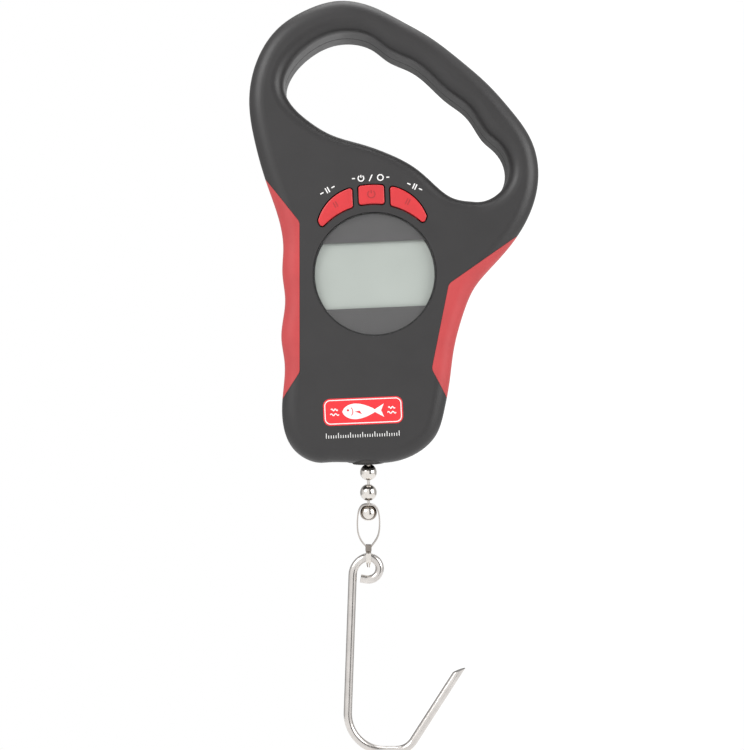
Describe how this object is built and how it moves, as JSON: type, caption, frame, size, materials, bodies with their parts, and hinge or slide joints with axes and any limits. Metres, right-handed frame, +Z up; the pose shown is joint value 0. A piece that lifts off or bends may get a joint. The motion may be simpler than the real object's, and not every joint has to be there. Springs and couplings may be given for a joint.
{
  "type": "digital fish scale",
  "caption": "Hand-held digital hanging scale with an open grip handle, round display window, push buttons, battery door, bead chain and wire hook.",
  "frame": {"origin": "underside of the grip bar on the load line, where the fingers carry the scale", "axes": "+Z up along the load line, display faces -Y, chain and hook hang along -Z; the body leans 2.4 degrees about Y"},
  "size_m": [0.1083, 0.0265, 0.2842],
  "materials": {
    "shell_plastic": "fine satin moulding texture",
    "grip_rubber": "soft-touch satin",
    "button_plastic": "semi-gloss moulded",
    "window_acrylic": "clear polished",
    "lcd_glass": "polarised grey-green",
    "frame_plastic": "white moulded",
    "zebra_rubber": "striped elastomer",
    "board": "green solder mask",
    "chip_resin": "matt resin",
    "component_ceramic": "ceramic",
    "switch_plastic": "black moulded",
    "battery_wrap": "printed shrink wrap",
    "contact_steel": "nickel plated spring steel",
    "cell_aluminium": "milled",
    "gauge_foil": "polyimide foil",
    "lead_pvc": "insulated lead",
    "screw_steel": "zinc plated",
    "bracket_steel": "stainless",
    "chain_nickel": "nickel plated",
    "hook_steel": "polished stainless wire"
  },
  "bodies": {
    "root": {"front_cover": "shell_plastic", "rear_cover": "shell_plastic", "exit_bush": "switch_plastic", "left_grip": "grip_rubber", "right_grip": "grip_rubber", "switch_bodies": "switch_plastic", "display_window": "window_acrylic", "lcd_panel": "lcd_glass", "lcd_frame": "frame_plastic", "backlight_panel": "frame_plastic", "zebra_strips": "zebra_rubber", "pcb": "board", "controller_chip": "chip_resin", "pcb_components": "component_ceramic", "battery_upper": "battery_wrap", "battery_lower": "battery_wrap", "positive_contact": "contact_steel", "negative_contact": "contact_steel", "series_contact": "contact_steel", "battery_springs": "contact_steel", "load_cell": "cell_aluminium", "strain_gauges": "gauge_foil", "draw_bracket": "bracket_steel", "case_screws": "screw_steel", "pcb_screws": "screw_steel", "load_cell_screws": "screw_steel", "bracket_screws": "screw_steel", "battery_leads": "lead_pvc", "gauge_wires": "lead_pvc"},
    "button_left_body": {"button_left": "button_plastic", "plunger_left": "switch_plastic"},
    "button_centre_body": {"button_centre": "button_plastic", "plunger_centre": "switch_plastic"},
    "button_right_body": {"button_right": "button_plastic", "plunger_right": "switch_plastic"},
    "door": {"battery_door": "shell_plastic"},
    "chain_top": {"bead_a": "chain_nickel", "link_ab": "chain_nickel", "bead_b": "chain_nickel"},
    "link_bc_body": {"link_bc": "chain_nickel"},
    "bead_c_body": {"bead_c": "chain_nickel"},
    "link_cd_body": {"link_cd": "chain_nickel"},
    "bead_d_body": {"bead_d": "chain_nickel"},
    "link_de_body": {"link_de": "chain_nickel"},
    "bead_e_body": {"bead_e": "chain_nickel"},
    "coupling": {"strap_loop": "chain_nickel", "loop_sleeve": "chain_nickel", "lower_loop": "chain_nickel"},
    "hook_body": {"hook": "hook_steel"}
  },
  "joints": [
    {"name": "button_left_press", "type": "slide", "parent": "root", "child": "button_left_body", "axis": [0, 1, 0], "range_m": [0, 0.0005], "stiffness_N_per_m": 400, "springref_m": -0.0005},
    {"name": "button_centre_press", "type": "slide", "parent": "root", "child": "button_centre_body", "axis": [0, 1, 0], "range_m": [0, 0.0005], "stiffness_N_per_m": 400, "springref_m": -0.0005},
    {"name": "button_right_press", "type": "slide", "parent": "root", "child": "button_right_body", "axis": [0, 1, 0], "range_m": [0, 0.0005], "stiffness_N_per_m": 400, "springref_m": -0.0005},
    {"name": "door_hinge", "type": "hinge", "parent": "root", "child": "door", "pos_m": [0.00067, 0.0118, -0.07814], "axis": [0.9991, 0, 0.0419], "range_deg": [0, 70]},
    {"name": "chain_swivel", "type": "hinge", "parent": "root", "child": "chain_top", "pos_m": [0, 0, -0.1476], "axis": [0, 0, 1], "continuous": true},
    {"name": "link_bc_swing", "type": "hinge", "parent": "chain_top", "child": "link_bc_body", "pos_m": [0, 0, -0.15685], "axis": [1, 0, 0], "range_deg": [-20, 20]},
    {"name": "bead_c_swing", "type": "hinge", "parent": "link_bc_body", "child": "bead_c_body", "pos_m": [0, 0, -0.16145], "axis": [0, 1, 0], "range_deg": [-20, 20]},
    {"name": "link_cd_swing", "type": "hinge", "parent": "bead_c_body", "child": "link_cd_body", "pos_m": [0, 0, -0.16455], "axis": [1, 0, 0], "range_deg": [-20, 20]},
    {"name": "bead_d_swing", "type": "hinge", "parent": "link_cd_body", "child": "bead_d_body", "pos_m": [0, 0, -0.16915], "axis": [0, 1, 0], "range_deg": [-20, 20]},
    {"name": "link_de_swing", "type": "hinge", "parent": "bead_d_body", "child": "link_de_body", "pos_m": [0, 0, -0.17225], "axis": [1, 0, 0], "range_deg": [-20, 20]},
    {"name": "bead_e_swing", "type": "hinge", "parent": "link_de_body", "child": "bead_e_body", "pos_m": [0, 0, -0.17685], "axis": [0, 1, 0], "range_deg": [-20, 20]},
    {"name": "coupling_swivel", "type": "hinge", "parent": "bead_e_body", "child": "coupling", "pos_m": [0, 0, -0.1784], "axis": [0, 0, 1], "continuous": true},
    {"name": "hook_swing", "type": "hinge", "parent": "coupling", "child": "hook_body", "pos_m": [0, 0, -0.19955], "axis": [0, 1, 0], "range_deg": [-30, 30]}
  ]
}
